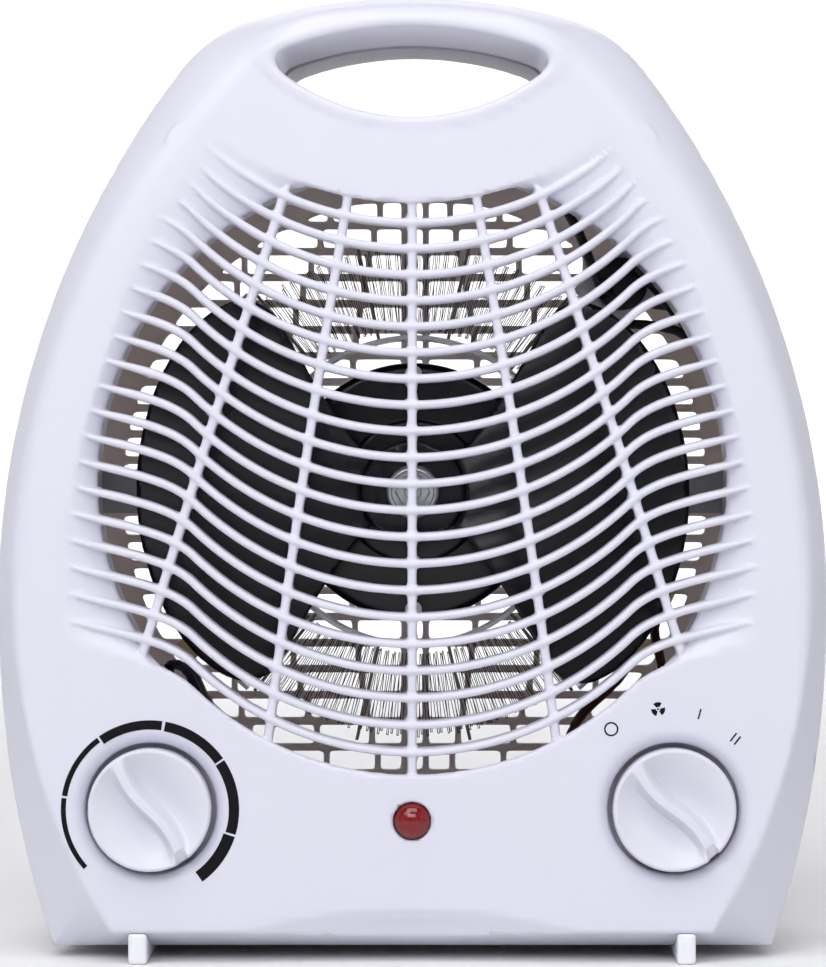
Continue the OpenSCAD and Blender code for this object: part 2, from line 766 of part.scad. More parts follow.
module thermal_cutout() {
  color("#26262a") translate([0, 0, fan_z]) rotate([0, -cutout_angle, 0])
    translate([wire_out_r + 13, heater_y + 17, 0]) rotate([90, 0, 0]) {
      cylinder(r = 7, h = 5);
      cylinder(r = 5, h = 7.5);
      for (s = [-1, 1]) translate([s * 3 - 0.4, -3.2, 6]) cube([0.8, 6.4, 8]);
    }
}

// The fuse hangs under the carrying handle's tunnel
fuse_z = 204;
module thermal_fuse() {
  color("#e6e0d0") translate([0, 0, fuse_z]) {
    rotate([0, 90, 0]) cylinder(r = 2, h = 16, center = true);
    rotate([0, 90, 0]) cylinder(r = 0.5, h = 28, center = true);
    block([-1, -1, 0], [1, 1, grip_low_z - wall - fuse_z - 0.5]);
  }
}

// ---------- Wiring ----------

block_place = [0, 22];
module terminal_block() {
  color("#e8e4d4") difference() {
    block([-16, 32, 12], [16, 48, 28]);
    for (i = [-1 : 1]) translate([10 * i, 0, 20]) {
      translate([0, 40, 0]) cylinder(r = 2.6, h = 10);
      translate([0, 31, 0]) rotate([-90, 0, 0]) cylinder(r = 2, h = 18);
    }
  }
}
module terminal_screws() {
  color("#c8a850") for (i = [-1 : 1]) translate([10 * i, 40, 21.9]) cylinder(r = 2.6, h = 4);
}

gland_place = [0, 20];
gland_r = 7;
module cord_gland() {
  color("#e0e0ea") difference() {
    union() {
      rod(gland_place, back_y - 8, back_y - 0.6, gland_r);
      pipe(gland_place, back_y - 8, back_y - 5.2, gland_r + 3, gland_r - 1);
    }
    rod(gland_place, back_y - 9, back_y + 1, 3.6);
  }
}

// A round lead through points chosen along its way
function smooth(p, n) = [for (i = [0 : len(p) - 2], k = [0 : n - 1]) let (t = k / n,
    a = p[max(0, i - 1)], b = p[i], c = p[i + 1], d = p[min(len(p) - 1, i + 2)])
  0.5 * (2 * b + (c - a) * t + (2 * a - 5 * b + 4 * c - d) * t * t + (3 * b - a - 3 * c + d) * t * t * t)];
module lead(p, r) {
  path = concat(smooth(p, 4), [p[len(p) - 1]]);
  last = len(path) - 1;
  loft([for (i = [0 : last]) let (t = path[min(last, i + 1)] - path[max(0, i - 1)],
      u = cross(t, [0.31, 0.17, 0.94]), a = u / norm(u), w = cross(t, a), b = w / norm(w))
    [for (k = [0 : 7]) path[i] + r * (cos(45 * k) * a - sin(45 * k) * b)]]);
}

lead_r = 1.3;
// A lead leaves a switch tab straight back
function tab(i, back = 0.5) = [tab_places[i][0], tab_y + back, tab_places[i][1]];
// Where a lead meets a tag of the heating element
function tag_end(a) = [(wire_out_r + 7.4) * cos(a), heater_y + 7.1, fan_z + (wire_out_r + 7.4) * sin(a)];
function cutout_side(r) = [r * cos(cutout_angle), -6, fan_z + r * sin(cutout_angle)];

module lead_switch() {
  color("#202024") lead([[0, face_y + 16.6, knob_z - 3], [0, -33, knob_z - 3], [12, -26, 33], [34, -12, 22],
    [52, 2, 18], [70, 6, 20], [84, 4, 36], [80, 3, 46], tab(1, 4), tab(1)], lead_r);
}
module lead_thermostat() {
  color("#202838") {
    lead([[-14.2, 0, fuse_z], [-22, 0, fuse_z], [-46, 2, 196], [-70, 4, 175], [-86, 6, 142], [-89, 6, 112],
      [-85, 4, 88], [-75, -6, 76], [-67.5, frame_y + 20.4, 73.2], [-67.5, frame_y + 20.4, 70.5]], lead_r);
    lead([[-63.5, frame_y + 24.4, 70.5], [-63.5, frame_y + 24.6, 73], [-59, -4, 70], [-50, 6, 50], [-30, 10, 36],
      [0, 10, 33], [30, 8, 38], [48, 4, 45], tab(0, 4), tab(0)], lead_r);
  }
}
module lead_cutout() {
  color("#18181c") {
    lead([[10, 33, 20], [10.5, 27, 20], [21, 22, 21], [42, 15, 27], [66, 13, 36], [72, 13, 58], [79, 9, 76],
      [84, 3, 88], [86, 1, 98], [88, 3, 120], [84, 5, 140], [77, 4, 156], [68, 0, 167], [63, -5, 172.5],
      cutout_side(wire_out_r + 17.8)], lead_r);
    lead([cutout_side(wire_out_r + 8.2), [49.4, -6, 172.3], [47, -5, 178], [42.5, -3, 189], [35, -1, 199],
      [22, 0, fuse_z], [14.2, 0, fuse_z]], lead_r);
  }
}
module lead_motor() {
  color("#18181c") {
    lead([[34.9, 10, fan_z], [37.2, 10, fan_z], [39.8, 10.3, 121.5], [44, 12, 140], [47, 11.5, 159], [62, 11, 163], [78, 10, 155],
      [88, 12, 120], [93, 10, 75], [94, 4, 56], [90, 2, 42], [82, 2, 31], tab(4, 4), tab(4)], lead_r);
    lead([[34.9, 16, fan_z], [37.2, 16, fan_z], [39.2, 16.3, 121.5], [41, 18, 144], [44, 17, 164], [60, 16, 169], [81, 16, 161],
      [93, 18, 120], [95, 20, 72], [94, 22, 50], [84, 24, 30], [62, 26, 14], [30, 26, 14], [7, 24, 17],
      [0.5, 28, 20], [0, 33, 20]], lead_r);
  }
}
module lead_element() {
  color("#8a4a2a") {
    lead([tag_end(325), [54, 2, 68], [43, 0, 57], [41, -1, 44], [48, -1.5, 33], tab(3, 4), tab(3)], lead_r);
    lead([tag_end(337), [64, 2, 82], [66, 5, 72], [68, 4, 58], [66, 0, 46], tab(2, 4), tab(2)], lead_r);
    lead([tag_end(215), [-56, 5, 64], [-44, 15, 46], [-24, 24, 26], [-10.5, 27, 20], [-10, 33, 20]], lead_r);
  }
}

// A clip on the side wall that holds one of the motor's leads
module wire_clamp() {
  color("#dcdce4") difference() {
    block([86.5, 6, 93], [100.8, 16, 99]);
    translate([90.8, 11, 92]) cylinder(r = lead_r + 0.9, h = 8);
  }
}

// ---------- Assembly ----------

front_shell();
rear_shell();
foot_left();
foot_right();
case_screws();
indicator_lens();
indicator_lamp();
thermostat_knob();
thermostat_spindle();
thermostat_frame();
thermostat_bimetal();
thermostat_contacts();
selector_knob();
selector_spindle();
selector_switch_body();
selector_terminals();
fan_impeller();
spinner_nut();
motor_shaft();
rotor_core();
motor_front_cover();
motor_rear_cover();
stator_core();
stator_coils();
front_bearing();
rear_bearing();
motor_screws();
motor_mount();
mount_screws();
heater_outer_ring();
heater_inner_ring();
mica_arms();
heating_wire_front();
heating_wire_rear();
heater_brackets();
element_terminals();
cutout_bracket();
thermal_cutout();
thermal_fuse();
terminal_block();
terminal_screws();
lead_switch();
lead_thermostat();
lead_cutout();
lead_motor();
lead_element();
wire_clamp();
cord_gland();
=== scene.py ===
"""Looks of an upright fan heater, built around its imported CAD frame.

Moulded pieces are made as smooth distance fields in millimetres and meshed with openvdb.
Lengths are in millimetres unless a name ends in _M; the frame itself is in metres.
"""

import json
import math

import bmesh
import bpy
import numpy as np
import openvdb as vdb
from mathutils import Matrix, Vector


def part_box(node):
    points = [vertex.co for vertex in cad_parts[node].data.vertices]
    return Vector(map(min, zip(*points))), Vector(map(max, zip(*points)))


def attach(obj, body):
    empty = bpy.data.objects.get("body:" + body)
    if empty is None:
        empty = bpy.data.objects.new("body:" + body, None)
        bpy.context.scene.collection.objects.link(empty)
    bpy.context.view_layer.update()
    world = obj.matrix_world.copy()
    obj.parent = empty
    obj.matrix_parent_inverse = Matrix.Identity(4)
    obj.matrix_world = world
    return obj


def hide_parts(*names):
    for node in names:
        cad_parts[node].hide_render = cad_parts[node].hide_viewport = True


MM = 0.001
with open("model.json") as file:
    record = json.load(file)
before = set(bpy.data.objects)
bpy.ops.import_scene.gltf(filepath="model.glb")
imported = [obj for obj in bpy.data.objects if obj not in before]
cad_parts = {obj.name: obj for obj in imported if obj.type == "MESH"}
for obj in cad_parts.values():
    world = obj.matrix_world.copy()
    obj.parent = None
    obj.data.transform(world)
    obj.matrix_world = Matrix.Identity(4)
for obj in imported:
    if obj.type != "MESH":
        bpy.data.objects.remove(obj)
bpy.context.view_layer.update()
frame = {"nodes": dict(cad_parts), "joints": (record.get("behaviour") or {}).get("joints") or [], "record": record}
NODES = frame["nodes"]


def cad_box(node):
    """A CAD node's corners in millimetres."""
    low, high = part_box(node)
    return np.array(low) / MM, np.array(high) / MM


def joint_place(name):
    """Where a joint's axis is, as x and z in millimetres."""
    joint = next(j for j in frame["joints"] if j["name"] == name)
    return joint["pos_m"][0] / MM, joint["pos_m"][2] / MM


# ---------- Places that come from the frame ----------

SHELL_LOW, SHELL_HIGH = cad_box("front_shell")
LENS_LOW, LENS_HIGH = cad_box("indicator_lens")
FACE_Y = SHELL_LOW[1]
SEAM_Y = SHELL_HIGH[1]
BACK_Y = cad_box("rear_shell")[1][1]
WAIST_HALF = SHELL_HIGH[0]
TOP_Z = SHELL_HIGH[2]
BELLY_Z = SHELL_LOW[2]
FAN_Z = joint_place("fan_spin")[1]
KNOB_X, KNOB_Z = joint_place("selector_turn")
LAMP_Z = (LENS_LOW[2] + LENS_HIGH[2]) / 2
FAN_Y = cad_box("fan_impeller")[0][1]
KNOB_LOW, KNOB_HIGH = cad_box("selector_knob")

# ---------- Shape of the body ----------

WAIST_Z = 88.0
WALL = 2.2
BEVEL_DEPTH = 15.0
NECK_Y = FACE_Y + 69.0
# Half width, its height, side, skirt, top and shoulder radii, top, underside
FACE_SHAPE = dict(half=WAIST_HALF - 6, waist=WAIST_Z + 3, side=190, skirt=155, crown=146,
                  shoulder=33, top=TOP_Z - 4, low=8.0)
BODY_SHAPE = dict(half=WAIST_HALF, waist=WAIST_Z, side=226, skirt=264, crown=150,
                  shoulder=37, top=TOP_Z, low=BELLY_Z)
DISH_DEPTH = 4.0
DISH_MARGIN = 12.0
DISH_REACH = 4.0  # how much farther out the dish goes near the top
OPENING_Z = 121.0
OPENING_R = 79.0
# The collar's middle outside the opening's edge, its half thickness, middle depth, half length, ends
COLLAR_OUT, COLLAR_HALF = 1.1, 0.8
COLLAR_MID, COLLAR_LONG = 12.5, 7.5
COLLAR_LOW, COLLAR_HIGH = 80.0, 205.0
WELL_R = 16.5
WELL_DEPTH = 9.0
LIP_WIDTH = 2.3
KNOB_SHAFT_R = 4.6
LAMP_SEAT_R = 4.75
LAMP_HOLE_R = 3.2
# The scallop is a shallow cone whose centre is far below the floor
SCALLOP_Z, SCALLOP_R, SCALLOP_SLOPE = -146.0, 160.0, 2.1
SCREW_PLACES = ((84, 54), (57, 206))
POST_R = 4.5
# Centre height and radius of the two arcs that bound the handle's opening
GRIP_TOP_Z, GRIP_TOP_R = 140.4, 94.0
GRIP_LOW_Z, GRIP_LOW_R = 266.2, 53.5

# ---------- The grille's bars ----------

BAND_TOP = 190.5
BAND_LOW = 47.6
# Each bar sags on an arc out to BEND_X, then levels off into a straight tail
BEND_R = 79.0
BEND_X = 54.5
TAIL_SLOPE = 0.225
TAIL_LENGTH = 5.5
BAR_COUNT = 21
BAR_LOW_Z = 53.0
BAR_PITCH, BAR_CLOSING = 6.82, 0.009  # the pitch shrinks a little with each bar
# Half the width at a bar's tip, how much it gains inwards, and over what distance
BAR_TIP_HALF, BAR_SWELL, BAR_TIP_LENGTH = 0.35, 0.6, 9.0
BAR_FRONT = 0.1
BAR_BACK = DISH_DEPTH + 3.0
UPRIGHT_HALF = 1.15
# Distance from the middle at the top and at the foot, and how far it bows
UPRIGHTS = ((0, 0, 0), (16.4, 37.2, 0.9), (32.9, 76.5, 0.4))


# ---------- Distance fields ----------


def smooth_min(a, b, k):
    """The lesser of two fields, blended where they are within k of each other."""
    h = np.maximum(k - np.abs(a - b), 0) / k
    return np.minimum(a, b) - h * h * k * 0.25


def smooth_max(a, b, k):
    return -smooth_min(-a, -b, k)


def smooth_step(low, high, x):
    t = np.clip((x - low) / (high - low), 0, 1)
    return t * t * (3 - 2 * t)


def arc_points(centre, r, a0, a1, n):
    """n points along an arc between two angles in radians."""
    a = np.linspace(a0, a1, n)
    return np.stack([centre[0] + r * np.cos(a), centre[1] + r * np.sin(a)], 1)


def crossing(a, ra, b, rb):
    """The crossing of two circles that lies to the left of the way from b to a."""
    a, b = np.array(a, float), np.array(b, float)
    d = np.hypot(*(b - a))
    u = (b - a) / d
    h = (ra * ra - rb * rb + d * d) / (2 * d)
    return a + u * h + np.array([u[1], -u[0]]) * math.sqrt(ra * ra - h * h)


def outline_points(s):
    """The whole outline of the body, clockwise from the top centre."""
    top = (0, s["top"] - s["crown"])
    side = (s["half"] - s["side"], s["waist"])
    skirt = (s["half"] - s["skirt"], s["waist"])
    blend = crossing(top, s["crown"] - s["shoulder"], side, s["side"] - s["shoulder"])
    a1 = math.atan2(blend[1] - top[1], blend[0] - top[0])
    a2 = math.atan2(blend[1] - side[1], blend[0] - side[0])
    a3 = math.asin((s["low"] - s["waist"]) / s["skirt"])
    right = np.concatenate([
        arc_points(top, s["crown"], math.pi / 2, a1, 14),
        arc_points(blend, s["shoulder"], a1, a2, 18)[1:],
        arc_points(side, s["side"], a2, 0, 26)[1:],
        arc_points(skirt, s["skirt"], 0, a3, 22)[1:],
    ])
    left = right[:0:-1] * [-1, 1]
    return np.concatenate([right, left])


def convex_distance(points, x, z):
    """Signed distance to a convex outline that runs clockwise."""
    ends = np.roll(points, -1, 0)
    inside = np.full(np.broadcast(x, z).shape, -1e9, np.float32)
    outside = np.full_like(inside, 1e9)
    for (ax, az), (bx, bz) in zip(points, ends):
        dx, dz = bx - ax, bz - az
        length = math.hypot(dx, dz)
        if length < 1e-6:
            continue
        px, pz = x - ax, z - az
        inside = np.maximum(inside, (-dz * px + dx * pz) / length)
        t = np.clip((px * dx + pz * dz) / length**2, 0, 1)
        outside = np.minimum(outside, (px - t * dx) ** 2 + (pz - t * dz) ** 2)
    return np.where(inside <= 0, inside, np.sqrt(outside)).astype(np.float32)


def bar_rise(x):
    """Height of a bar above its middle, at x."""
    x = np.abs(x)
    bend = BEND_R - np.sqrt(BEND_R**2 - np.minimum(x, BEND_X) ** 2)
    d = np.maximum(x - BEND_X, 0)
    return bend + TAIL_SLOPE * d + 0.75 * TAIL_LENGTH * (1 - np.exp(-d / TAIL_LENGTH))


def bar_slope(x):
    return (bar_rise(x + 0.1) - bar_rise(x - 0.1)) / 0.2


def grip_distance(x, z, grow=0.0):
    """Distance to the lens of the carrying handle's opening."""
    top = np.hypot(x, z - GRIP_TOP_Z) - GRIP_TOP_R - grow
    low = np.hypot(x, z - GRIP_LOW_Z) - GRIP_LOW_R - grow
    return smooth_max(top, low, 7.0) - 0.4


class Grid:
    """A block of sample points. Only the half with x above zero is worked out when mirrored."""

    def __init__(self, low, high, step, mirrored=True):
        self.step, self.mirrored = step, mirrored
        self.low = np.array(low, float)
        self.count = [int(math.ceil((b - a) / step)) + 1 for a, b in zip(low, high)]
        axes = [(a + step * np.arange(n)).astype(np.float32) for a, n in zip(low, self.count)]
        self.x = axes[0][:, None, None]
        self.y = axes[1][None, :, None]
        self.z = axes[2][None, None, :]

    def mesh(self, field, name, adapt):
        """The field's zero surface as a mesh with smooth normals taken from the field."""
        low = self.low.copy()
        if self.mirrored:
            field = np.concatenate([field[:0:-1], field])
            low[0] = -(self.low[0] + self.step * (self.count[0] - 1))
        grid = vdb.FloatGrid(background=3.0)
        grid.copyFromArray(np.ascontiguousarray(np.clip(field, -3, 3), np.float32))
        points, tris, quads = grid.convertToPolygons(0.0, adapt)
        normals = -field_normals(field, points)
        return build_mesh(name, (points * self.step + low) * MM, tris, quads, normals)


def field_normals(field, points):
    """Unit gradient of the field at index points, from the eight samples around each."""
    shape = np.array(field.shape)
    base = np.clip(np.floor(points).astype(int), 1, shape - 3)
    f = (points - base).astype(np.float32)
    out = np.zeros_like(f)
    flat = field.reshape(-1)
    strides = np.array([shape[1] * shape[2], shape[2], 1])
    for corner in range(8):
        o = np.array([corner >> 2 & 1, corner >> 1 & 1, corner & 1])
        w = np.prod(np.where(o, f, 1 - f), 1)
        at = (base + o) @ strides
        for k in range(3):
            out[:, k] += w * (flat[at + strides[k]] - flat[at - strides[k]])
    return -out / np.maximum(np.linalg.norm(out, axis=1, keepdims=True), 1e-9)


def add_object(name, data):
    """A new object in the scene with the given mesh, curve, light or camera."""
    obj = bpy.data.objects.new(name, data)
    bpy.context.scene.collection.objects.link(obj)
    return obj


def build_mesh(name, points, tris, quads, normals):
    """A smooth-shaded object from triangles, quads and one normal for each point."""
    mesh = bpy.data.meshes.new(name)
    tris = np.asarray(tris, np.int32).reshape(-1, 3)
    quads = np.asarray(quads, np.int32).reshape(-1, 4)
    loops = np.concatenate([tris.ravel(), quads.ravel()])
    sizes = np.concatenate([np.full(len(tris), 3), np.full(len(quads), 4)]).astype(np.int32)
    starts = np.concatenate([[0], np.cumsum(sizes)[:-1]]).astype(np.int32)
    mesh.vertices.add(len(points))
    mesh.vertices.foreach_set("co", np.asarray(points, np.float32).ravel())
    mesh.loops.add(len(loops))
    mesh.loops.foreach_set("vertex_index", loops)
    mesh.polygons.add(len(sizes))
    mesh.polygons.foreach_set("loop_start", starts)
    mesh.polygons.foreach_set("loop_total", sizes)
    mesh.update(calc_edges=True)
    mesh.validate()
    mesh.shade_smooth()
    if len(normals) == len(mesh.vertices):
        mesh.normals_split_custom_set_from_vertices(normals)
    return add_object(name, mesh)


# ---------- Front shell ----------


def front_shell_field(g):
    x, y, z = g.x, g.y, g.z
    face = convex_distance(outline_points(FACE_SHAPE), x, z)
    body = convex_distance(outline_points(BODY_SHAPE), x, z)
    depth = y - FACE_Y
    t = np.clip(depth / BEVEL_DEPTH, 0, 1)
    skirt = smooth_step(105, 55, z)
    ease = np.sin(0.5 * math.pi * t) * (1 - skirt) + t * skirt
    side = face + (body - face) * ease + 0.5 * np.clip(depth / BEVEL_DEPTH - 1, 0, None) / 2

    rise, slope = bar_rise(x), bar_slope(x)
    lean = np.sqrt(1 + slope * slope)
    above_low = (z - rise - BAND_LOW) / lean
    under_top = (BAND_TOP - z + rise) / lean
    to_side = -face - DISH_MARGIN + DISH_REACH * smooth_step(145, 190, z)
    inside_dish = smooth_min(smooth_min(to_side, above_low, 4), under_top, 4)
    past_opening = np.hypot(x, z - OPENING_Z) - OPENING_R
    a = np.maximum(inside_dish, 0)
    b = np.maximum(past_opening, 0)
    dip = DISH_DEPTH * (a / (a + b + 0.3)) ** 1.15
    above_face = dip - depth

    edge = 3.2 - 2.2 * skirt
    outer = smooth_max(side, above_face, edge)
    inner = smooth_max(side + WALL, above_face + WALL, 2.0)
    shell = smooth_max(outer, -inner, 0.6)
    hole = smooth_max(smooth_max(past_opening, -above_low, 2.5), -under_top, 2.5)
    shell = smooth_max(shell, -hole, 1.0)

    # The collar that stands behind the round opening
    collar = np.abs(past_opening - COLLAR_OUT) - COLLAR_HALF
    collar = np.maximum(collar, np.abs(depth - COLLAR_MID) - COLLAR_LONG)
    collar = np.maximum(collar, COLLAR_LOW - z)
    shell = smooth_min(shell, np.maximum(collar, z - COLLAR_HIGH), 0.6)

    bars = bar_field(x, depth, z, rise, slope, lean, inside_dish, to_side)
    shell = smooth_min(shell, bars, 0.5)

    # The carrying handle's tunnel
    grip = grip_distance(x, z)
    shell = smooth_min(shell, smooth_max(grip - WALL, outer, 1.0), 2.0)
    shell = smooth_max(shell, -grip, 1.5)

    # Wells for the knobs, each with a soft lip
    r = np.hypot(x - KNOB_X, z - KNOB_Z)
    shell = smooth_min(shell, np.maximum(np.maximum(r - WELL_R - 2, depth - 11), 0.5 - depth), 1.0)
    shell = smooth_max(shell, -np.maximum(r - WELL_R, depth - WELL_DEPTH), 0.5)
    lip = (r - WELL_R - LIP_WIDTH + 1.25 * np.maximum(depth, -1)) / math.hypot(1, 1.25)
    shell = smooth_max(shell, -np.maximum(lip, depth - 3), 0.9)
    shell = smooth_max(shell, -np.maximum(r - KNOB_SHAFT_R, depth - 14), 0.4)

    # Seat of the indicator lamp
    r = np.hypot(x, z - LAMP_Z)
    shell = smooth_min(shell, np.maximum(np.maximum(r - 7.5, depth - 9), 0.5 - depth), 0.8)
    shell = smooth_max(shell, -np.maximum(r - LAMP_SEAT_R, depth - 7), 0.8)
    shell = smooth_max(shell, -np.maximum(r - LAMP_HOLE_R, depth - 12), 0.4)

    # Shallow scallop under the middle of the face
    scallop = np.hypot(x, z - SCALLOP_Z) - SCALLOP_R + SCALLOP_SLOPE * depth
    scallop = scallop / math.hypot(1, SCALLOP_SLOPE)
    shell = smooth_max(shell, -scallop, 0.3)

    # Posts for the closing screws, and the flat seam
    for px, pz in SCREW_PLACES:
        post = np.hypot(x - px, z - pz) - POST_R
        shell = smooth_min(shell, np.maximum(post, 1.0 - depth), 0.8)
        shell = smooth_max(shell, -np.maximum(post + 3.0, SEAM_Y - 14 - y), 0.4)
    return smooth_max(shell, y - SEAM_Y, 0.5)


def bar_field(x, depth, z, rise, slope, lean, inside_dish, to_side):
    """The curved bars and the five uprights of the grille."""
    level = z - rise - BAR_LOW_Z
    root = np.sqrt(np.maximum(BAR_PITCH**2 - 4 * BAR_CLOSING * level, 0.01))
    i = np.clip(np.round((BAR_PITCH - root) / (2 * BAR_CLOSING)), 0, BAR_COUNT - 1)
    off = np.abs(level - (BAR_PITCH * i - BAR_CLOSING * i * i)) / lean
    draft = 0.28 * np.clip(depth / BAR_BACK, 0, 1)
    half = BAR_TIP_HALF + BAR_SWELL * np.clip(to_side / BAR_TIP_LENGTH, 0, 1) ** 0.7
    bars = rounded_bar(off - draft, depth, half, BAR_FRONT, BAR_BACK, half - 0.05)
    t = (BAND_TOP - z) / (BAND_TOP - BAND_LOW)
    uprights = np.inf
    for x_top, x_low, bow in UPRIGHTS:
        line = x_top + (x_low - x_top) * t + bow * np.sin(math.pi * np.clip(t, 0, 1))
        tilt = math.hypot(1, (x_low - x_top) / (BAND_TOP - BAND_LOW))
        away = np.abs(x - line) / tilt
        one = rounded_bar(away, depth, UPRIGHT_HALF, BAR_FRONT + 0.7, BAR_BACK - 0.3, 0.9)
        uprights = np.minimum(uprights, one)
    uprights = smooth_max(uprights, np.hypot(x, z - OPENING_Z) - OPENING_R - 1.5, 0.5)
    both = smooth_min(bars, uprights, 0.4)
    return smooth_max(both, -inside_dish - 0.8, 0.8)


def rounded_bar(off, depth, half, front, back, r):
    """Distance to a long bar whose section is a rounded block."""
    mid, long = (front + back) / 2, (back - front) / 2
    qx = off - half + r
    qy = np.abs(depth - mid) - long + r
    return np.hypot(np.maximum(qx, 0), np.maximum(qy, 0)) + np.minimum(np.maximum(qx, qy), 0) - r


def make_front_shell():
    g = Grid((0, FACE_Y - 1.5, BELLY_Z - 1.5), (WAIST_HALF + 1.5, SEAM_Y + 1.5, TOP_Z + 1.5), 0.5)
    shell = g.mesh(front_shell_field(g), "front_shell_moulding", 0.15)
    finish_piece(shell, "case", "shell_plastic", "front_shell")


# ---------- Rear shell ----------

SLOPE_LOW, SLOPE_HIGH = 198.0, 236.0
REAR_INSET = 0.4
SLOT_PITCH = 7.32
SLOT_HALF = 2.51
SLOT_LOW_Z = FAN_Z + 8.66 - 11.5 * SLOT_PITCH
SLOT_COUNT = 22
INTAKE_R = 82.0
RIB_HALF = 0.9
# How far each rib is from the middle, and how gently it bows
RIBS = ((3.0, 1e6), (19.2, 652), (39.7, 383), (57.5, 420))
SCREW_HOLE_R, SCREW_HEAD_R = 1.8, 3.4
# The bosses that the motor's mount is screwed to
BOSS_X, BOSS_R, BOSS_HOLE_R = 89.0, 5.0, 1.4
MOUNT_Y = 34.0
GLAND_Z, GLAND_HOLE_R = 20.0, 7.0


def back_at(z):
    """How far back the rear shell reaches at a height; it slopes forward to the neck."""
    u = np.clip((z - SLOPE_LOW) / (SLOPE_HIGH - SLOPE_LOW), 0, 1)
    return BACK_Y - (BACK_Y - NECK_Y) * (1 - np.cos(math.pi * u)) / 2


def rear_shell_field(g):
    x, y, z = g.x, g.y, g.z
    tall = dict(BODY_SHAPE, low=-30.0)
    body = convex_distance(outline_points(tall), x, z) + REAR_INSET
    draft = 0.5 + 1.7 * np.clip((y - SEAM_Y) / (BACK_Y - 14 - SEAM_Y), 0, 1.4)
    tilt = (back_at(z - 1) - back_at(z + 1)) / 2
    past_back = (y - back_at(z) + REAR_INSET) / np.sqrt(1 + tilt * tilt)
    under = BELLY_Z + REAR_INSET - z
    side = smooth_max(body + draft, under, 1.5)
    outer = smooth_max(side, past_back, 13.0)
    inner = smooth_max(side + WALL, past_back + WALL, 10.0)
    shell = smooth_max(outer, -inner, 0.5)

    # The round intake, its slots parted by curved ribs
    k = np.clip(np.round((z - SLOT_LOW_Z) / SLOT_PITCH), 0, SLOT_COUNT - 1)
    slot_z = SLOT_LOW_Z + k * SLOT_PITCH
    slot = np.abs(z - slot_z) - SLOT_HALF
    slot = smooth_max(slot, np.hypot(x, z - FAN_Z) - INTAKE_R, 1.0)
    for middle, bow in RIBS:
        rib = middle - (slot_z - FAN_Z) ** 2 / bow
        slot = smooth_max(slot, RIB_HALF - np.abs(x - rib), 0.6)
    shell = smooth_max(shell, -np.maximum(slot, -y), 0.7)

    # Tunnel of the carrying handle
    grip = grip_distance(x, z, -REAR_INSET)
    shell = smooth_min(shell, smooth_max(grip - WALL - REAR_INSET, outer, 1.0), 2.0)
    shell = smooth_max(shell, -grip, 1.2)

    for px, pz in SCREW_PLACES:
        r = np.hypot(x - px, z - pz)
        shell = smooth_min(shell, smooth_max(r - POST_R, outer, 0.8), 0.8)
        shell = smooth_max(shell, SCREW_HOLE_R - r, 0.3)
        shell = smooth_max(shell, -np.maximum(r - SCREW_HEAD_R, SEAM_Y + 10 - y), 0.5)

    # The motor mount's bosses, and the cord's hole with the block below it
    r = np.hypot(x - BOSS_X, z - FAN_Z)
    boss = np.maximum(smooth_max(r - BOSS_R, outer, 0.8), MOUNT_Y + 1.5 - y)
    shell = smooth_min(shell, boss, 0.8)
    shell = smooth_max(shell, -np.maximum(r - BOSS_HOLE_R, y - MOUNT_Y - 10), 0.3)
    block = np.maximum(np.maximum(np.abs(x) - 20, np.abs(y - 39.5) - 9.5), np.abs(z - 8) - 4)
    shell = smooth_min(shell, block, 0.8)
    gland = np.hypot(x, z - GLAND_Z) - GLAND_HOLE_R
    shell = smooth_max(shell, -np.maximum(gland, 30 - y), 0.6)
    return smooth_max(shell, SEAM_Y - y, 0.5)


def make_rear_shell():
    g = Grid((0, SEAM_Y - 1.5, BELLY_Z - 1.5), (WAIST_HALF + 1.5, BACK_Y + 1.5, TOP_Z + 1.5), 0.55)
    shell = g.mesh(rear_shell_field(g), "rear_shell_moulding", 0.15)
    finish_piece(shell, "case", "rear_plastic", "rear_shell")


# ---------- Feet, lens and knobs ----------

TOE_TOP, TOE_SLOPE = 7.9, 0.35
KNOB_R = 15.2
KNOB_BACK = KNOB_HIGH[1]
KNOB_TURNS = {"thermostat": 124, "selector": 131}  # where each ridge points at rest, in degrees
KNOB_WALL, KNOB_HUB_R, SHAFT_R = 1.6, 5.5, 3.0
RIDGE_HALF, RIDGE_BOW, RIDGE_REACH, RIDGE_END = 1.05, 1.1, 14.5, 12.3
SCOOP_DEPTH, SCOOP_R = 5.0, 14.6
DOME_HEIGHT, DOME_INSET = 3.4, 0.75


def make_feet():
    for node in ("foot_left", "foot_right"):
        low, high = cad_box(node)
        g = Grid(low - 1, high + 1, 0.3, mirrored=False)
        mid = (low[0] + high[0]) / 2
        toe = (g.z - TOE_TOP + TOE_SLOPE * (g.y - low[1])) / math.hypot(1, TOE_SLOPE)
        top = np.where(g.y < low[1] + BEVEL_DEPTH, toe, g.z - BELLY_Z)
        foot = smooth_max(np.abs(g.x - mid) - (high[0] - low[0]) / 2, -g.z, 1.0)
        foot = smooth_max(foot, np.maximum(low[1] - g.y, g.y - high[1]) + 0 * g.z, 1.0)
        foot = smooth_max(foot, top, 0.6)
        piece = g.mesh(foot, node + "_moulding", 0.1)
        finish_piece(piece, "case", "foot_plastic", node)


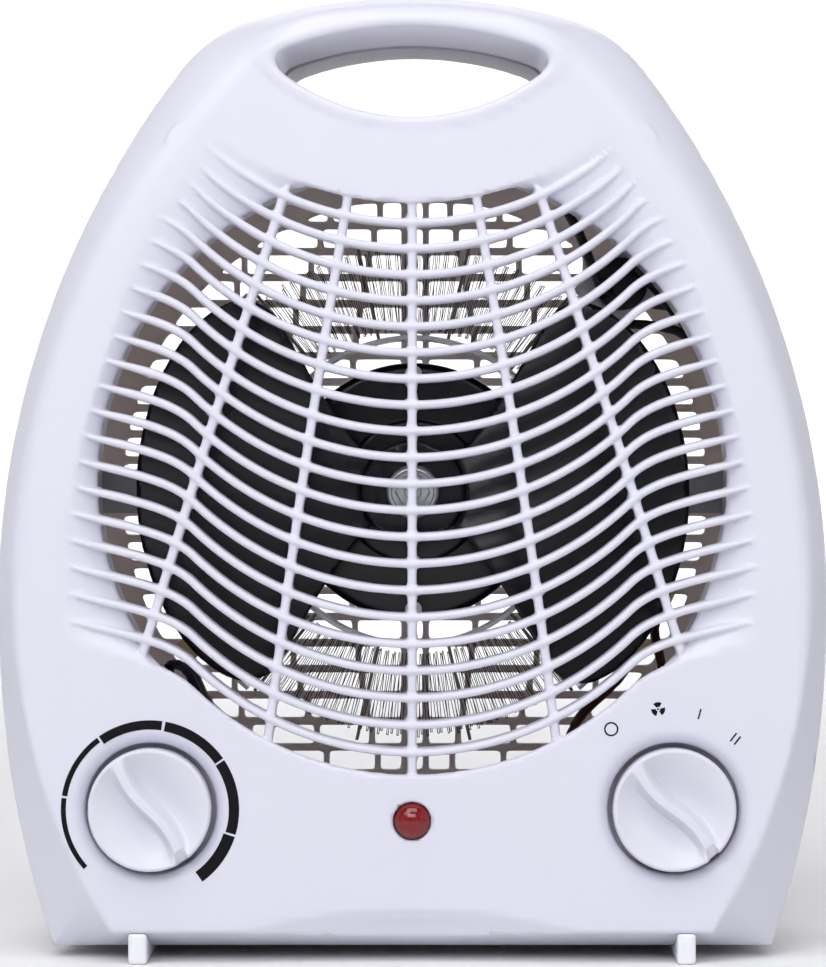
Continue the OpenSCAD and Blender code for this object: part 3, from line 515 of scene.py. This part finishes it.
def knob_field(g, turn):
    """A round knob whose scooped front leaves an S-shaped ridge, at angle turn."""
    x, y, z = g.x, g.y, g.z
    r = np.hypot(x, z)
    top = KNOB_LOW[1]
    along = x * math.cos(turn) + z * math.sin(turn)
    across = -x * math.sin(turn) + z * math.cos(turn)
    off = np.abs(across - RIDGE_BOW * np.sin(math.pi * along / RIDGE_REACH)) - RIDGE_HALF
    scoop = smooth_step(0.0, 1.9, off) ** 0.7
    bowl = np.clip(1 - (r / SCOOP_R) ** 2.6, 0, 1)
    rise = 1 - 0.5 * smooth_step(3.0, 12.0, off)
    fall = np.clip((-RIDGE_END - along) * 0.9, 0, 3) * (1 - smooth_step(0, 0.8, off))
    depth = SCOOP_DEPTH * scoop * bowl * rise + 0.3 * smooth_step(0.5, 2.0, off) + fall
    front = (top + depth - y) / 1.35
    side = r - KNOB_R + 0.02 * (y - FACE_Y - 7)
    knob = smooth_max(side, front, 1.1)
    knob = smooth_max(knob, y - KNOB_BACK, 0.5)
    hollow = smooth_max(r - KNOB_R + KNOB_WALL, FACE_Y + 4 - y, 0.8)
    hollow = smooth_max(hollow, KNOB_HUB_R - r, 0.8)
    knob = smooth_max(knob, -hollow, 0.5)
    return smooth_max(knob, -np.maximum(r - SHAFT_R, FACE_Y + 1.5 - y), 0.3)


def make_knobs():
    for body, degrees in KNOB_TURNS.items():
        name = body + "_knob"
        kx, kz = joint_place(body + "_turn")
        reach = KNOB_R + 1
        g = Grid((-reach, KNOB_LOW[1] - 1, -reach), (reach, KNOB_BACK + 1, reach), 0.22, mirrored=False)
        field = knob_field(g, math.radians(degrees))
        g.low[0] += kx
        g.low[2] += kz
        finish_piece(g.mesh(field, name + "_moulding", 0.1), body, "knob_plastic", name)


def lathe(name, profile, place, steps=72):
    """Turns (radius, depth) points about the Y axis through place; the ends meet on the axis."""
    bm = bmesh.new()
    rings = []
    for r, y in profile:
        turns = [2 * math.pi * i / steps for i in range(steps)] if r > 1e-6 else [0]
        spots = [(place[0] + r * math.cos(a), y, place[1] + r * math.sin(a)) for a in turns]
        rings.append([bm.verts.new((px * MM, py * MM, pz * MM)) for px, py, pz in spots])
    for a, b in zip(rings, rings[1:]):
        for i in range(steps):
            j = (i + 1) % steps
            corners = [a[i % len(a)], a[j % len(a)], b[j % len(b)], b[i % len(b)]]
            unique = list(dict.fromkeys(corners))
            if len(unique) > 2:
                bm.faces.new(unique)
    bmesh.ops.remove_doubles(bm, verts=bm.verts, dist=1e-7)
    obj = finish_bmesh(bm, name)
    obj.data.shade_smooth()
    obj.data.set_sharp_from_angle(angle=math.radians(32))
    return obj


def finish_bmesh(bm, name):
    """An object from a bmesh, with its faces turned outwards."""
    bmesh.ops.recalc_face_normals(bm, faces=bm.faces)
    mesh = bpy.data.meshes.new(name)
    bm.to_mesh(mesh)
    bm.free()
    return add_object(name, mesh)


def make_lens():
    r = (LENS_HIGH[0] - LENS_LOW[0]) / 2
    front, back = LENS_LOW[1], LENS_HIGH[1]
    seat = front + 4.2
    dome_r = r - DOME_INSET
    cup_r = dome_r - 0.9
    dome = [(dome_r * math.sin(a), front + DOME_HEIGHT * (1 - math.cos(a)))
            for a in np.linspace(0, math.pi / 2, 14)]
    rim = [(dome_r, seat - 0.1), (r, seat), (r, back)]
    inside = [(r - 1, back), (cup_r, seat)]
    cup = [(cup_r * math.sin(a), seat - 3.0 * math.cos(a)) for a in np.linspace(math.pi / 2, 0, 10)[1:]]
    lens = lathe("indicator_lens_dome", dome + rim + inside + cup, (0, LAMP_Z))
    finish_piece(lens, "case", "red_lens", "indicator_lens")


# ---------- Dial marks ----------

# Start and end of each arc in degrees, and its width
THERMOSTAT_ARCS = ((222, 172.5, 1.25), (171, 126.5, 1.35), (125, 82, 2.3), (80, 35, 2.45),
                   (33.7, -16.5, 2.6), (-18, -54, 3.0))
ARC_R = 22.3
# Direction in degrees and distance of each symbol from the selector's axis
RING_AT, FAN_AT, ONE_AT = (128, 25.5), (99, 25.4), (75, 24.7)
TWO_AT = ((47.4, 23.4), (50.6, 23.4))
STROKE_WIDTH = 0.4
MARK_THICK = 0.06


def plate(name, outlines):
    """Closed outlines of x and z as one thin mesh that lies just proud of the face."""
    bm = bmesh.new()
    for points in outlines:
        front = [bm.verts.new((x * MM, (FACE_Y - MARK_THICK) * MM, z * MM)) for x, z in points]
        back = [bm.verts.new((x * MM, (FACE_Y + 0.05) * MM, z * MM)) for x, z in points]
        bm.faces.new(front)
        bm.faces.new(back[::-1])
        n = len(points)
        for i in range(n):
            j = (i + 1) % n
            bm.faces.new((front[i], back[i], back[j], front[j]))
    return finish_bmesh(bm, name)


def sector(centre, r_in, r_out, a0, a1, steps=24):
    """A slice of a ring between two angles in degrees."""
    a = np.radians(np.linspace(a0, a1, steps))
    outer = [(centre[0] + r_out * math.cos(t), centre[1] + r_out * math.sin(t)) for t in a]
    inner = [(centre[0] + r_in * math.cos(t), centre[1] + r_in * math.sin(t)) for t in a[::-1]]
    return outer + inner


def stroke(centre, length, width, lean):
    """A slanted stroke, as a long thin box."""
    c, s = math.cos(math.radians(lean)), math.sin(math.radians(lean))
    return [(centre[0] + u * c - v * s, centre[1] + u * s + v * c)
            for u, v in ((-length / 2, -width / 2), (length / 2, -width / 2),
                         (length / 2, width / 2), (-length / 2, width / 2))]


def around(place, degrees, r):
    """The point at a distance r from a place, in a direction."""
    a = math.radians(degrees)
    return place[0] + r * math.cos(a), place[1] + r * math.sin(a)


def make_marks():
    place = joint_place("thermostat_turn")
    arcs = [sector(place, ARC_R - width, ARC_R, a0, a1) for a0, a1, width in THERMOSTAT_ARCS]
    finish_piece(plate("thermostat_marks", arcs), "case", "print_ink")
    place = joint_place("selector_turn")
    ring = around(place, *RING_AT)
    marks = [sector(ring, 1.4, 1.8, 90, 270, 20), sector(ring, 1.4, 1.8, 270, 450, 20)]
    fan = around(place, *FAN_AT)
    marks += [sector(fan, 0.55, 1.75, a, a + 75, 12) for a in (60, 180, 300)]
    marks += [sector(fan, 0.0, 0.25, 0, 350, 12)]
    marks += [stroke(around(place, *ONE_AT), 2.7, STROKE_WIDTH, 75)]
    marks += [stroke(around(place, *at), 2.6, STROKE_WIDTH, 52) for at in TWO_AT]
    finish_piece(plate("selector_marks", marks), "case", "print_ink")


# ---------- Fan ----------

FAN_R = 71.5
BLADE_PITCH = 15.0  # the blades' depth along the shaft
BLADE_SPAN = math.radians(106)
BLADE_TURNS = (127, 307)
BLADE_HALF = 0.8
HUB_R, HUB_WALL, HUB_POST_R, FAN_BORE_R = 13.3, 2.0, 5.0, 2.0
NUT_LIP_R, SOCKET_HALF = 5.4, 3.8
MOTOR_BOSS_R, MOTOR_STEP, MOTOR_EDGE_R = 17.5, 1.2, 2.5
COVER_BORE_R, COVER_WALL = 3.0, 1.5


def fan_field(g):
    x, y, z = g.x, g.y - FAN_Y, g.z
    r = np.hypot(x, z)
    angle = np.arctan2(z, x)
    base_r = HUB_R - 0.9
    fan = smooth_max(r - HUB_R, 1.0 - y + 0.02 * (r - 8), 1.0)
    fan = smooth_max(fan, y - BLADE_PITCH, 0.6)
    fan = smooth_max(fan, -smooth_max(r - HUB_R + HUB_WALL, 8 - y, 0.8), 0.6)
    post = smooth_max(r - HUB_POST_R, y - BLADE_PITCH - 1.8, 0.6)
    fan = smooth_min(fan, smooth_max(post, 2 - y, 0.5), 0.8)
    for turn in BLADE_TURNS:
        middle = math.radians(turn) + BLADE_SPAN / 2
        from_mid = (angle - middle + math.pi) % (2 * math.pi) - math.pi
        v = np.clip((r - base_r) / (FAN_R - base_r), 0, 1)
        half_span = BLADE_SPAN / 2 * (1 - 0.28 * (1 - v) ** 2)
        u = from_mid / BLADE_SPAN
        tip = FAN_R - 9 * np.minimum(np.abs(2 * u), 1.1) ** 6
        plan = smooth_max(r * (np.abs(from_mid) - half_span), r - tip, 8.0)
        plan = smooth_max(plan, base_r - r, 0.5)
        slant = 0.5 + np.clip(u, -0.6, 0.6) * (0.45 + 0.55 * v)
        level = (BLADE_PITCH - 2 * BLADE_HALF) * slant + BLADE_HALF
        blade = smooth_max(plan, np.abs(y - level) * 0.97 - BLADE_HALF, 0.9)
        fan = smooth_min(fan, blade, 1.6)
    return smooth_max(fan, FAN_BORE_R - r, 0.2)


def make_fan():
    g = Grid((-FAN_R - 1, FAN_Y - 1, -FAN_R - 1), (FAN_R + 1, FAN_Y + BLADE_PITCH + 3, FAN_R + 1),
             0.5, mirrored=False)
    field = fan_field(g)
    g.low[2] += FAN_Z
    finish_piece(g.mesh(field, "fan_impeller_moulding", 0.15), "fan", "black_plastic", "fan_impeller")


def make_spinner_nut():
    """The rounded nut on the fan's shaft, with a six-sided socket."""
    low, high = cad_box("spinner_nut")
    r_out = (high[0] - low[0]) / 2
    reach = r_out + 1
    g = Grid((-reach, low[1] - 1, -reach), (reach, high[1] + 1, reach), 0.15, mirrored=False)
    r = np.hypot(g.x, g.z)
    nut = smooth_max(r - r_out, low[1] - g.y, 2.4)
    nut = smooth_max(nut, g.y - high[1], 0.3)
    lip = np.maximum(r - NUT_LIP_R, low[1] + 0.7 - g.y)
    nut = smooth_max(nut, -np.maximum(r - NUT_LIP_R, g.y - low[1] - 0.6), 0.3)
    nut = smooth_min(nut, np.maximum(lip, g.y - high[1]), 0.2)
    flat = np.maximum(np.abs(g.z), 0.5 * np.abs(g.z) + 0.866 * np.abs(g.x)) + 0 * g.y
    nut = smooth_max(nut, -np.maximum(flat - SOCKET_HALF, g.y - low[1] - 2.9), 0.2)
    nut = np.maximum(nut, FAN_BORE_R - r)
    g.low[2] += FAN_Z
    finish_piece(g.mesh(nut, "spinner_nut_turned", 0.1), "fan", "bright_steel", "spinner_nut")


def make_motor_front():
    """The motor's front cover, with a round boss and softened edges."""
    low, high = cad_box("motor_front_cover")
    r = (high[0] - low[0]) / 2
    front, back = low[1], high[1]
    step = front + MOTOR_STEP
    flat_r = r - MOTOR_EDGE_R
    outline = [(COVER_BORE_R, front), (MOTOR_BOSS_R, front)]
    outline += [(MOTOR_BOSS_R + 1.5 * math.sin(a), front + MOTOR_STEP * (1 - math.cos(a)))
                for a in np.linspace(0.3, 1.5, 6)]
    outline += [(MOTOR_BOSS_R + 2.1, step), (flat_r, step)]
    outline += [(flat_r + MOTOR_EDGE_R * math.sin(a), step + MOTOR_EDGE_R * (1 - math.cos(a)))
                for a in np.linspace(0.2, 1.5, 8)]
    outline += [(r, back), (r - COVER_WALL, back), (r - COVER_WALL, front + 3.2)]
    outline += [(COVER_BORE_R, front + 3.2), (COVER_BORE_R, front)]
    finish_piece(lathe("motor_front_pressing", outline, (0, FAN_Z), 96), "case", "black_steel",
                 "motor_front_cover")


# ---------- Heating element ----------

# The folds turn back at these radii or, by chance, up to 0.8 mm less
WIRE_IN_R, WIRE_OUT_R = 43.3, 64.7
WIRE_FOLDS = 150
WIRE_R = 0.15
FOLD_HALF_ANGLE = 0.003


def wire_loop(name, points, radius):
    """A round wire that runs through the points and back to the first."""
    curve = bpy.data.curves.new(name, "CURVE")
    curve.dimensions = "3D"
    curve.bevel_depth = radius * MM
    curve.bevel_resolution = 2
    curve.use_fill_caps = False
    spline = curve.splines.new("POLY")
    spline.points.add(len(points) - 1)
    for p, (x, y, z) in zip(spline.points, points):
        p.co = (x * MM, y * MM, z * MM, 1)
    spline.use_cyclic_u = True
    return add_object(name, curve)


def make_wires():
    rng = np.random.default_rng(7)
    for node, phase in (("heating_wire_front", 0.0), ("heating_wire_rear", 0.5)):
        low, high = cad_box(node)
        mid = (low[1] + high[1]) / 2
        points = []
        for i in range(2 * WIRE_FOLDS):
            out = i % 2 == 0
            a = math.pi * (i + phase) / WIRE_FOLDS + rng.normal(0, 0.0022)
            r = (WIRE_OUT_R if out else WIRE_IN_R) - rng.uniform(0, 0.8)
            y = mid + rng.uniform(-0.15, 0.15)
            points += [(r * math.cos(a + k), y, FAN_Z + r * math.sin(a + k))
                       for k in (-FOLD_HALF_ANGLE, FOLD_HALF_ANGLE)]
        wire = wire_loop(node + "_strands", points, WIRE_R)
        finish_piece(wire, "case", "nichrome", node)


# ---------- Pieces and materials ----------

# The warm light that comes through the front and the rear mouldings
FACE_GLOW, REAR_GLOW = (0.8, 0.68, 0.56), (0.8, 0.7, 0.6)


def finish_piece(obj, body, finish, *replaced):
    """Gives a piece its material and the body it rides on, and hides the CAD nodes it stands for."""
    obj.data.materials.clear()
    obj.data.materials.append(MATERIALS[finish])
    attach(obj, body)
    if replaced:
        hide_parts(*replaced)


def new_material(name, colour, rough, metal=0.0, coat=0.0, sss=0.0, spec=0.5):
    """A principled material, its nodes and links, and its shader."""
    mat = bpy.data.materials.new(name)
    mat.use_nodes = True
    nodes, links = mat.node_tree.nodes, mat.node_tree.links
    shader = nodes["Principled BSDF"]
    shader.inputs["Base Color"].default_value = (*colour, 1)
    shader.inputs["Roughness"].default_value = rough
    shader.inputs["Metallic"].default_value = metal
    shader.inputs["Coat Weight"].default_value = coat
    shader.inputs["Specular IOR Level"].default_value = spec
    if sss:
        shader.inputs["Subsurface Weight"].default_value = sss
        shader.inputs["Subsurface Radius"].default_value = (0.8, 0.8, 0.9)
        shader.inputs["Subsurface Scale"].default_value = 0.002
    return mat, nodes, links, shader


def add_noise(nodes, links, scale, detail, stretch=(1, 1, 1)):
    """A noise in object coordinates."""
    coord = nodes.new("ShaderNodeTexCoord")
    mapping = nodes.new("ShaderNodeMapping")
    mapping.inputs["Scale"].default_value = stretch
    noise = nodes.new("ShaderNodeTexNoise")
    noise.inputs["Scale"].default_value = scale
    noise.inputs["Detail"].default_value = detail
    links.new(coord.outputs["Object"], mapping.inputs["Vector"])
    links.new(mapping.outputs["Vector"], noise.inputs["Vector"])
    return noise


def add_bump(nodes, links, shader, source, strength, distance):
    bump = nodes.new("ShaderNodeBump")
    bump.inputs["Strength"].default_value = strength
    bump.inputs["Distance"].default_value = distance
    links.new(source, bump.inputs["Height"])
    links.new(bump.outputs["Normal"], shader.inputs["Normal"])


def vary(nodes, links, source, socket, low, high):
    """Runs a socket between two values, or two colours, along a noise."""
    ramp = nodes.new("ShaderNodeValToRGB")
    ramp.color_ramp.elements[0].position = 0.35
    ramp.color_ramp.elements[1].position = 0.65
    for e, c in zip(ramp.color_ramp.elements, (low, high)):
        e.color = (*c, 1) if hasattr(c, "__len__") else (c, c, c, 1)
    links.new(source, ramp.inputs["Fac"])
    links.new(ramp.outputs["Color"], socket)


def let_light_through(nodes, links, shader, colour, share):
    """Mixes in light that comes through the wall from its other side."""
    through = nodes.new("ShaderNodeBsdfTranslucent")
    through.inputs["Color"].default_value = (*colour, 1)
    mix = nodes.new("ShaderNodeMixShader")
    mix.inputs["Fac"].default_value = share
    links.new(shader.outputs["BSDF"], mix.inputs[1])
    links.new(through.outputs["BSDF"], mix.inputs[2])
    links.new(mix.outputs["Shader"], nodes["Material Output"].inputs["Surface"])


def plastic(name, colour, rough, grain, spread, coat=0.0, sss=0.0, spec=0.5, glow=None, share=0.0):
    """A moulded or coated surface, whose wall lets a share of the light through."""
    mat, nodes, links, shader = new_material(name, colour, rough, coat=coat, sss=sss, spec=spec)
    if glow:
        let_light_through(nodes, links, shader, glow, share)
    cloud = add_noise(nodes, links, 18, 4)
    darker = tuple(c * (1 - spread) for c in colour)
    vary(nodes, links, cloud.outputs["Fac"], shader.inputs["Base Color"], darker, colour)
    vary(nodes, links, cloud.outputs["Fac"], shader.inputs["Roughness"], rough * 0.9, rough * 1.1)
    fine = add_noise(nodes, links, 1800, 2)
    add_bump(nodes, links, shader, fine.outputs["Fac"], grain, 0.0001)
    return mat


def metal(name, colour, rough, stretch=(1, 1, 1), grain=0.05, spread=0.12, metallic=1.0):
    """A metal whose fine grain can be stretched along an axis."""
    mat, nodes, links, shader = new_material(name, colour, rough, metal=metallic)
    cloud = add_noise(nodes, links, 60, 5)
    darker = tuple(c * (1 - spread) for c in colour)
    vary(nodes, links, cloud.outputs["Fac"], shader.inputs["Base Color"], darker, colour)
    vary(nodes, links, cloud.outputs["Fac"], shader.inputs["Roughness"], rough * 0.8, rough * 1.25)
    fine = add_noise(nodes, links, 900, 3, stretch)
    add_bump(nodes, links, shader, fine.outputs["Fac"], grain, 0.0002)
    return mat


MATERIALS = {
    "shell_plastic": plastic("shell_plastic", (0.79, 0.79, 0.91), 0.36, 0.015, 0.01,
                             glow=FACE_GLOW, share=0.12),
    "rear_plastic": plastic("rear_plastic", (0.84, 0.84, 0.95), 0.4, 0.02, 0.015,
                            glow=REAR_GLOW, share=0.33),
    "foot_plastic": plastic("foot_plastic", (0.84, 0.84, 0.90), 0.4, 0.02, 0.015),
    "knob_plastic": plastic("knob_plastic", (0.80, 0.80, 0.91), 0.33, 0.01, 0.01,
                            glow=FACE_GLOW, share=0.12),
    "print_ink": plastic("print_ink", (0.004, 0.004, 0.006), 0.6, 0.02, 0.2, spec=0.15),
    "red_lens": plastic("red_lens", (0.2, 0.005, 0.007), 0.07, 0.0, 0.1, coat=0.15),
    "lamp_glass": plastic("lamp_glass", (0.9, 0.5, 0.3), 0.1, 0.0, 0.1),
    "zinc_steel": metal("zinc_steel", (0.55, 0.56, 0.58), 0.35),
    "bright_steel": metal("bright_steel", (0.72, 0.73, 0.76), 0.18, (1, 30, 1), 0.03, 0.05),
    "lamination_steel": metal("lamination_steel", (0.2, 0.21, 0.23), 0.5, (1, 60, 1), 0.3),
    "black_plastic": plastic("black_plastic", (0.011, 0.01, 0.016), 0.2, 0.02, 0.25, spec=0.4),
    "black_steel": plastic("black_steel", (0.008, 0.008, 0.011), 0.2, 0.03, 0.3, spec=0.45),
    "bimetal_strip": metal("bimetal_strip", (0.55, 0.45, 0.25), 0.4, (1, 1, 30)),
    "contact_copper": metal("contact_copper", (0.6, 0.3, 0.15), 0.35),
    "winding_copper": metal("winding_copper", (0.45, 0.16, 0.06), 0.35, (1, 1, 60), 0.6),
    "sintered_bronze": metal("sintered_bronze", (0.4, 0.27, 0.15), 0.55, grain=0.3),
    "mica": plastic("mica", (0.23, 0.185, 0.14), 0.5, 0.4, 0.35, coat=0.15),
    "nichrome": metal("nichrome", (0.05, 0.042, 0.037), 0.5, grain=0.3, spread=0.4, metallic=0.6),
    "ceramic": plastic("ceramic", (0.7, 0.66, 0.56), 0.3, 0.05, 0.08, coat=0.3),
    "brass_tag": metal("brass_tag", (0.6, 0.48, 0.25), 0.35),
    "lead_brown": plastic("lead_brown", (0.09, 0.03, 0.015), 0.45, 0.05, 0.2),
    "lead_blue": plastic("lead_blue", (0.012, 0.018, 0.06), 0.45, 0.05, 0.2),
    "lead_black": plastic("lead_black", (0.012, 0.012, 0.014), 0.45, 0.08, 0.2),
    "clear_clip": plastic("clear_clip", (0.7, 0.7, 0.74), 0.3, 0.02, 0.04, sss=0.2),
}
for entry in frame["record"]["subparts"]:
    node = NODES[entry["node"]]
    node.data.materials.clear()
    node.data.materials.append(MATERIALS[entry["material_slot"]])


# ---------- Camera, light and floor ----------

CAMERA_X, CAMERA_Z = 7.0, 120.4
CAMERA_DISTANCE = 885.0  # from the face
FRAME_WIDTH = 826 * 0.25  # the image's width in pixels, each a quarter of a millimetre at the face
FRAME_SHIFT = 0.0012
SENSOR_WIDTH = 36.0
MIDDLE = (0, 0, 0.12)
# Each lamp's place, target and size in metres, and its power
LAMPS = {
    "key": ((-0.9, -1.6, 1.6), MIDDLE, (1.2, 1.0), 10.5),
    "front": ((-0.1, -2.1, 1.15), MIDDLE, (1.6, 0.7), 14),
    "fill": ((1.5, -0.7, 0.8), MIDDLE, (1.0, 1.0), 0.5),
    "strip_left": ((-1.3, -1.1, 0.3), MIDDLE, (0.12, 0.9), 0.25),
    "strip_right": ((1.3, -1.1, 0.3), MIDDLE, (0.12, 0.9), 0.25),
    "floor_front": ((0, -0.6, 1.1), (0, -0.3, 0), (1.0, 0.6), 6.5),
    "top": ((0, 0.1, 1.8), (0, 0, 0.1), (1.5, 1.0), 1),
    "back": ((0, 2.0, 1.9), (0, 2.9, 0.2), (2.0, 0.8), 40),
}


def make_camera():
    """A long lens in front of the face, a touch to the right and above its middle."""
    data = bpy.data.cameras.new("camera")
    data.sensor_fit = "HORIZONTAL"
    data.sensor_width = SENSOR_WIDTH
    data.lens = SENSOR_WIDTH * CAMERA_DISTANCE / FRAME_WIDTH
    data.clip_end = 20
    data.shift_x = FRAME_SHIFT - CAMERA_X / FRAME_WIDTH
    camera = add_object("camera", data)
    camera.location = (CAMERA_X * MM, (FACE_Y - CAMERA_DISTANCE) * MM, CAMERA_Z * MM)
    camera.rotation_euler = (math.pi / 2, 0, 0)
    bpy.context.scene.camera = camera


def area_light(name, place, target, size, power):
    """A soft rectangular lamp that faces its target."""
    data = bpy.data.lights.new(name, "AREA")
    data.shape = "RECTANGLE"
    data.size, data.size_y = size
    data.energy = power
    light = add_object(name, data)
    light.location = place
    direction = np.array(target) - np.array(place)
    light.rotation_euler = Vector(direction).to_track_quat("-Z", "Y").to_euler()


def make_studio():
    """A pale round floor that sweeps up into a wall, clear of every viewpoint, and soft lamps."""
    floor_r, bend, wall_top, steps = 2.6, 0.6, 3.5, 96
    rings = [(floor_r, 0.0)]
    rings += [(floor_r + bend * math.sin(a), bend - bend * math.cos(a))
              for a in np.linspace(0.15, math.pi / 2, 12)]
    rings += [(floor_r + bend, wall_top)]
    turns = [2 * math.pi * i / steps for i in range(steps)]
    verts = [(r * math.cos(t), r * math.sin(t), z) for r, z in rings for t in turns]
    faces = [tuple(range(steps))]
    for k in range(len(rings) - 1):
        for i in range(steps):
            j = (i + 1) % steps
            faces.append((k * steps + j, k * steps + i, (k + 1) * steps + i, (k + 1) * steps + j))
    mesh = bpy.data.meshes.new("floor")
    mesh.from_pydata(verts, [], faces)
    mesh.shade_smooth()
    mesh.materials.append(plastic("studio_paper", (0.93, 0.93, 0.94), 0.8, 0.0, 0.01))
    add_object("floor", mesh)
    for name, settings in LAMPS.items():
        area_light(name, *settings)
    world = bpy.data.worlds.new("studio")
    world.use_nodes = True
    sky = world.node_tree.nodes["Background"]
    sky.inputs["Color"].default_value = (0.95, 0.96, 1, 1)
    sky.inputs["Strength"].default_value = 0.04
    bpy.context.scene.world = world
    bpy.context.scene.view_settings.view_transform = "Standard"


make_camera()
make_studio()
make_front_shell()
make_rear_shell()
make_feet()
make_knobs()
make_lens()
make_marks()
make_fan()
make_spinner_nut()
make_motor_front()
make_wires()
